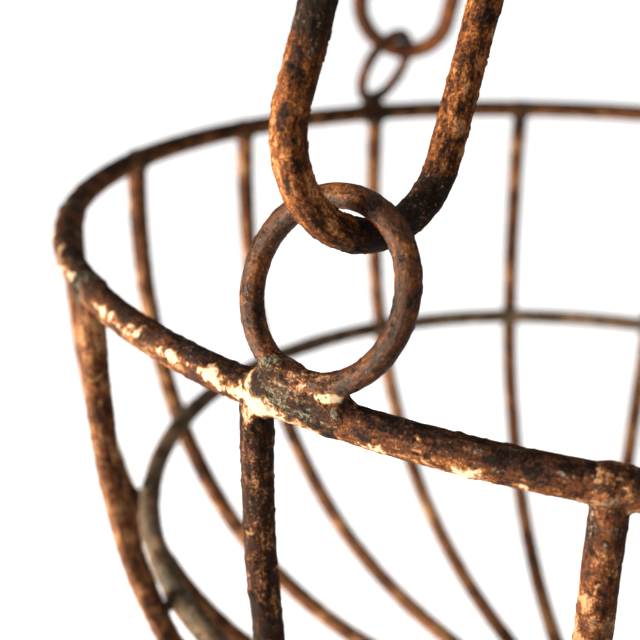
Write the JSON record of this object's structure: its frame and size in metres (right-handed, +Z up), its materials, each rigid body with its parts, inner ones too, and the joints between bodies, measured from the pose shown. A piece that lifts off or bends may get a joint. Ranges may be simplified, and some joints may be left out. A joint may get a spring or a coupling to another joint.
{
  "type": "hanging basket",
  "caption": "Round welded-wire hanging basket: a bowed rib cage under a rim, with long-link chains running from eyes on the rim up to a crown ring and an S-hook.",
  "frame": {"origin": "centre of the flat underside of the hook's upper bend, the saddle that rests on the rail the basket hangs from", "axes": "+Z up, along the hanging axis; +Y away from the front eye, across the basket; +X to the right seen from the front"},
  "size_m": [0.4078, 0.4101, 0.9156],
  "materials": {
    "rim_iron": "old paint flaked to dark rust",
    "cage_iron": "brown rust with paint remnants",
    "eye_iron": "smooth dark purple-brown rust",
    "link_iron": "orange-brown scaly rust",
    "weld_bead": "lumpy charcoal weld scale",
    "hook_iron": "brown rust"
  },
  "bodies": {
    "frame": {"rim": "rim_iron", "hoop": "cage_iron", "foot_ring": "cage_iron", "rib_00": "cage_iron", "rib_01": "cage_iron", "rib_02": "cage_iron", "rib_03": "cage_iron", "rib_04": "cage_iron", "rib_05": "cage_iron", "rib_06": "cage_iron", "rib_07": "cage_iron", "rib_08": "cage_iron", "rib_09": "cage_iron", "rib_10": "cage_iron", "rib_11": "cage_iron", "rib_12": "cage_iron", "rib_13": "cage_iron", "rib_14": "cage_iron", "rib_15": "cage_iron", "eye_front": "eye_iron", "weld_front": "weld_bead", "eye_left": "eye_iron", "weld_left": "weld_bead", "eye_right": "eye_iron", "weld_right": "weld_bead"},
    "link_front_1": {"link_front_1": "link_iron"},
    "link_front_2": {"link_front_2": "link_iron"},
    "link_front_3": {"link_front_3": "link_iron"},
    "link_front_4": {"link_front_4": "link_iron"},
    "link_left_1": {"link_left_1": "link_iron"},
    "link_left_2": {"link_left_2": "link_iron"},
    "link_left_3": {"link_left_3": "link_iron"},
    "link_left_4": {"link_left_4": "link_iron"},
    "link_right_1": {"link_right_1": "link_iron"},
    "link_right_2": {"link_right_2": "link_iron"},
    "link_right_3": {"link_right_3": "link_iron"},
    "link_right_4": {"link_right_4": "link_iron"},
    "crown_ring": {"crown_ring": "hook_iron"},
    "s_hook": {"s_hook": "hook_iron"}
  },
  "joints": [
    {"name": "link_front_1_swing", "type": "hinge", "parent": "frame", "child": "link_front_1", "pos_m": [0.01476, -0.1955, -0.64169], "axis": [0.9988, -0.0022, -0.0485], "range_deg": [0, 100]},
    {"name": "link_front_2_swing", "type": "hinge", "parent": "link_front_1", "child": "link_front_2", "pos_m": [0.01099, -0.14549, -0.51899], "axis": [0.2259, 0.9045, -0.3617], "range_deg": [-45, 45]},
    {"name": "link_front_3_swing", "type": "hinge", "parent": "link_front_2", "child": "link_front_3", "pos_m": [0.00724, -0.09588, -0.39727], "axis": [0.6809, -0.6706, 0.2943], "range_deg": [0, 90]},
    {"name": "link_front_4_swing", "type": "hinge", "parent": "link_front_3", "child": "link_front_4", "pos_m": [0.00349, -0.04627, -0.27554], "axis": [0.9875, 0.1545, -0.0326], "range_deg": [0, 90]},
    {"name": "link_left_1_swing", "type": "hinge", "parent": "frame", "child": "link_left_1", "pos_m": [-0.17418, 0.06872, -0.64667], "axis": [0.0785, -0.9969, 0], "range_deg": [0, 100]},
    {"name": "link_left_2_swing", "type": "hinge", "parent": "link_left_1", "child": "link_left_2", "pos_m": [-0.13412, 0.05115, -0.52155], "axis": [0.8714, 0.4398, -0.2173], "range_deg": [-45, 0]},
    {"name": "link_left_3_swing", "type": "hinge", "parent": "link_left_2", "child": "link_left_3", "pos_m": [-0.09437, 0.03372, -0.39741], "axis": [0.2452, -0.9461, -0.2114], "range_deg": [0, 90]},
    {"name": "link_left_4_swing", "type": "hinge", "parent": "link_left_3", "child": "link_left_4", "pos_m": [-0.05463, 0.01629, -0.27328], "axis": [-0.9482, -0.1437, 0.2834], "range_deg": [0, 90]},
    {"name": "link_right_1_swing", "type": "hinge", "parent": "frame", "child": "link_right_1", "pos_m": [0.17495, 0.06382, -0.64667], "axis": [-0.3827, 0.9239, 0], "range_deg": [0, 100]},
    {"name": "link_right_2_swing", "type": "hinge", "parent": "link_right_1", "child": "link_right_2", "pos_m": [0.13466, 0.04749, -0.52145], "axis": [-0.9079, -0.2629, -0.3264], "range_deg": [-45, 45]},
    {"name": "link_right_3_swing", "type": "hinge", "parent": "link_right_2", "child": "link_right_3", "pos_m": [0.09469, 0.03129, -0.39723], "axis": [-0.1921, 0.9792, 0.0659], "range_deg": [0, 90]},
    {"name": "link_right_4_swing", "type": "hinge", "parent": "link_right_3", "child": "link_right_4", "pos_m": [0.05472, 0.01509, -0.273], "axis": [-0.9481, -0.0582, -0.3126], "range_deg": [0, 90]},
    {"name": "crown_ring_tilt", "type": "hinge", "parent": "link_front_4", "child": "crown_ring", "pos_m": [0, 0, -0.16201], "axis": [1, 0, 0], "range_deg": [-60, 60]},
    {"name": "s_hook_swing", "type": "hinge", "parent": "crown_ring", "child": "s_hook", "pos_m": [0, 0, -0.09201], "axis": [1, 0, 0], "range_deg": [-90, 90]}
  ]
}
